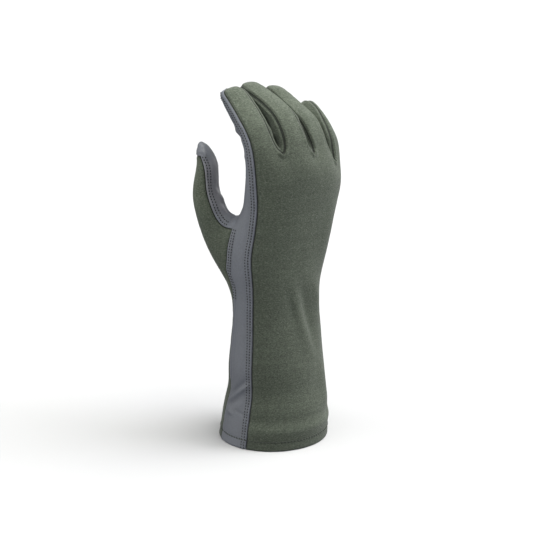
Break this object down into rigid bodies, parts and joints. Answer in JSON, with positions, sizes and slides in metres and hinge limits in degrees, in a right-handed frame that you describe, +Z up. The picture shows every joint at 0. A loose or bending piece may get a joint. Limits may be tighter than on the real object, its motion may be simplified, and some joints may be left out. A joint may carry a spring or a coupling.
{
  "type": "flame-resistant flight glove",
  "caption": "Right-hand flight glove with a long gauntlet, knit back and gusset, leather palm, finger fronts and side strip, standing open on its hem",
  "frame": {"origin": "middle of the bounding box in X and Y, on the plane that the hem stands on", "axes": "+Z up from the hem to the fingertips, -Y the back of the hand, +Y the palm, -X the thumb side"},
  "size_m": [0.117, 0.1, 0.2977],
  "materials": {
    "knit": "matte heathered sage-green aramid knit",
    "leather": "smooth satin bluish-grey glove leather"
  },
  "bodies": {
    "root": {"back_panel": "knit", "palm_panel": "leather", "thumb_front": "leather", "thumb_back": "knit", "fourchette_index_middle": "knit", "fourchette_middle_ring": "knit", "fourchette_ring_little": "knit"}
  },
  "joints": []
}
